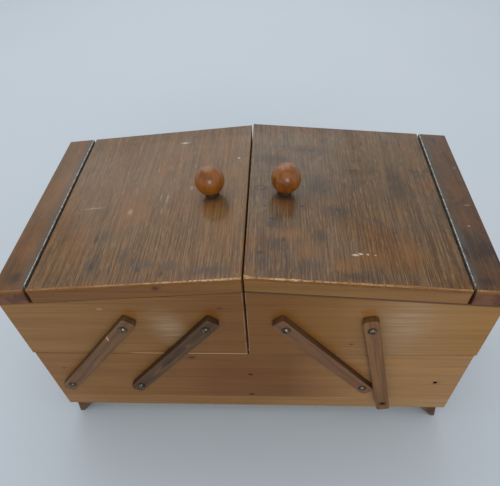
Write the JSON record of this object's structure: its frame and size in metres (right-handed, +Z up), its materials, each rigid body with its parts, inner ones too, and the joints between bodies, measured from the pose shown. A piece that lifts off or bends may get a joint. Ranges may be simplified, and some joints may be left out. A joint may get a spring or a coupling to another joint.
{
  "type": "cantilever sewing box",
  "caption": "Wooden sewing box: two lidded upper trays swing out level on parallel links from a base box on runners; ball knobs, piano hinges, one link hanging loose.",
  "frame": {"origin": "on the floor under the middle of the closed box", "axes": "+X to the right along the box's length as seen from its front, +Y to the back, +Z up"},
  "size_m": [0.444, 0.2682, 0.265],
  "materials": {
    "base_boards": "aged brown-orange varnish over softwood, worn lighter at the edges",
    "base_rails": "the same varnish, thinner and paler",
    "bottom_panels": "pale unfinished plywood",
    "brads": "small plain nail heads",
    "base_ends": "aged varnish, brushed grain",
    "inner_wood": "pale unfinished softwood",
    "screws": "dark oxidised steel with a bright slot edge",
    "hinges": "dull plated steel, tarnished",
    "links": "dark brown stained hardwood, satin",
    "knobs": "orange-brown glossy varnish on turned wood",
    "lid_rails": "aged varnish",
    "left_lid_panels": "dull brown plywood, scratched and stained",
    "runners": "varnished softwood, scuffed at the tip",
    "strip_battens": "dark end grain",
    "left_tray_boards": "aged brown varnish, knots showing",
    "left_tray_ends": "aged brown varnish",
    "right_lid_panels": "dark grimy plywood, ring marks and scratches",
    "loose_link": "brown stained hardwood, a little lighter",
    "right_tray_boards": "aged brown varnish, darker",
    "right_tray_ends": "aged brown varnish"
  },
  "bodies": {
    "base": {"base_back_board": "base_boards", "base_back_rail": "base_rails", "base_bottom_panel": "bottom_panels", "base_brads": "brads", "base_front_board": "base_boards", "base_front_rail": "base_rails", "base_left_end": "base_ends", "base_partition": "inner_wood", "base_pivot_screws": "screws", "base_right_end": "base_ends", "left_runner": "runners", "right_runner": "runners"},
    "left_inner_links": {"left_inner_front_link": "links", "left_inner_back_link": "links"},
    "left_tray": {"left_hinge_fixed_leaf": "hinges", "left_hinge_pin": "hinges", "left_strip_batten": "strip_battens", "left_strip_panel": "left_lid_panels", "left_tray_back_board": "left_tray_boards", "left_tray_bottom": "bottom_panels", "left_tray_divider": "inner_wood", "left_tray_front_board": "left_tray_boards", "left_tray_inner_end": "left_tray_ends", "left_tray_outer_end": "left_tray_ends", "left_tray_pivot_screws": "screws"},
    "left_lid": {"left_hinge_moving_leaf": "hinges", "left_knob": "knobs", "left_knob_screw": "screws", "left_lid_back_rail": "lid_rails", "left_lid_front_rail": "lid_rails", "left_lid_hinge_rail": "lid_rails", "left_lid_inner_rail": "lid_rails", "left_lid_panel": "left_lid_panels"},
    "right_inner_links": {"right_inner_front_link": "links", "right_inner_back_link": "links"},
    "right_tray": {"right_hinge_fixed_leaf": "hinges", "right_hinge_pin": "hinges", "right_strip_batten": "strip_battens", "right_strip_panel": "right_lid_panels", "right_tray_back_board": "right_tray_boards", "right_tray_bottom": "bottom_panels", "right_tray_divider": "inner_wood", "right_tray_front_board": "right_tray_boards", "right_tray_inner_end": "right_tray_ends", "right_tray_outer_end": "right_tray_ends", "right_tray_pivot_screws": "screws"},
    "right_lid": {"right_hinge_moving_leaf": "hinges", "right_knob": "knobs", "right_knob_screw": "screws", "right_lid_back_rail": "lid_rails", "right_lid_front_rail": "lid_rails", "right_lid_hinge_rail": "lid_rails", "right_lid_inner_rail": "lid_rails", "right_lid_panel": "right_lid_panels"},
    "left_outer_links": {"left_outer_front_link": "links", "left_outer_back_link": "links"},
    "right_outer_link": {"right_outer_back_link": "links"},
    "right_loose_link": {"right_outer_front_link": "loose_link"}
  },
  "joints": [
    {"name": "left_tray_swing", "type": "hinge", "parent": "base", "child": "left_inner_links", "pos_m": [-0.1185, 0, 0.0765], "axis": [0, -1, 0], "range_deg": [0, 79]},
    {"name": "left_tray_level", "type": "hinge", "parent": "left_inner_links", "child": "left_tray", "pos_m": [-0.0365, 0, 0.1759], "axis": [0, -1, 0], "range_deg": [-79, 0]},
    {"name": "left_outer_swing", "type": "hinge", "parent": "base", "child": "left_outer_links", "pos_m": [-0.1955, 0, 0.0765], "axis": [0, -1, 0], "range_deg": [0, 79]},
    {"name": "left_lid_hinge", "type": "hinge", "parent": "left_tray", "child": "left_lid", "pos_m": [-0.1909, 0, 0.22201], "axis": [0, -1, 0], "range_deg": [0, 178]},
    {"name": "right_tray_swing", "type": "hinge", "parent": "base", "child": "right_inner_links", "pos_m": [0.1185, 0, 0.0765], "axis": [0, 1, 0], "range_deg": [0, 79]},
    {"name": "right_tray_level", "type": "hinge", "parent": "right_inner_links", "child": "right_tray", "pos_m": [0.0365, 0, 0.1759], "axis": [0, 1, 0], "range_deg": [-79, 0]},
    {"name": "right_outer_swing", "type": "hinge", "parent": "base", "child": "right_outer_link", "pos_m": [0.1955, 0, 0.0765], "axis": [0, 1, 0], "range_deg": [0, 79]},
    {"name": "right_lid_hinge", "type": "hinge", "parent": "right_tray", "child": "right_lid", "pos_m": [0.1909, 0, 0.221], "axis": [0, 1, 0], "range_deg": [0, 178]},
    {"name": "loose_link_swing", "type": "hinge", "parent": "right_tray", "child": "right_loose_link", "pos_m": [0.1135, -0.1275, 0.1759], "axis": [0, -1, 0], "range_deg": [0, 150]}
  ],
  "couplings": [
    {"joint": "left_tray_level", "follows": "left_tray_swing", "ratio": -1},
    {"joint": "left_outer_swing", "follows": "left_tray_swing", "ratio": 1},
    {"joint": "right_tray_level", "follows": "right_tray_swing", "ratio": -1},
    {"joint": "right_outer_swing", "follows": "right_tray_swing", "ratio": 1}
  ]
}
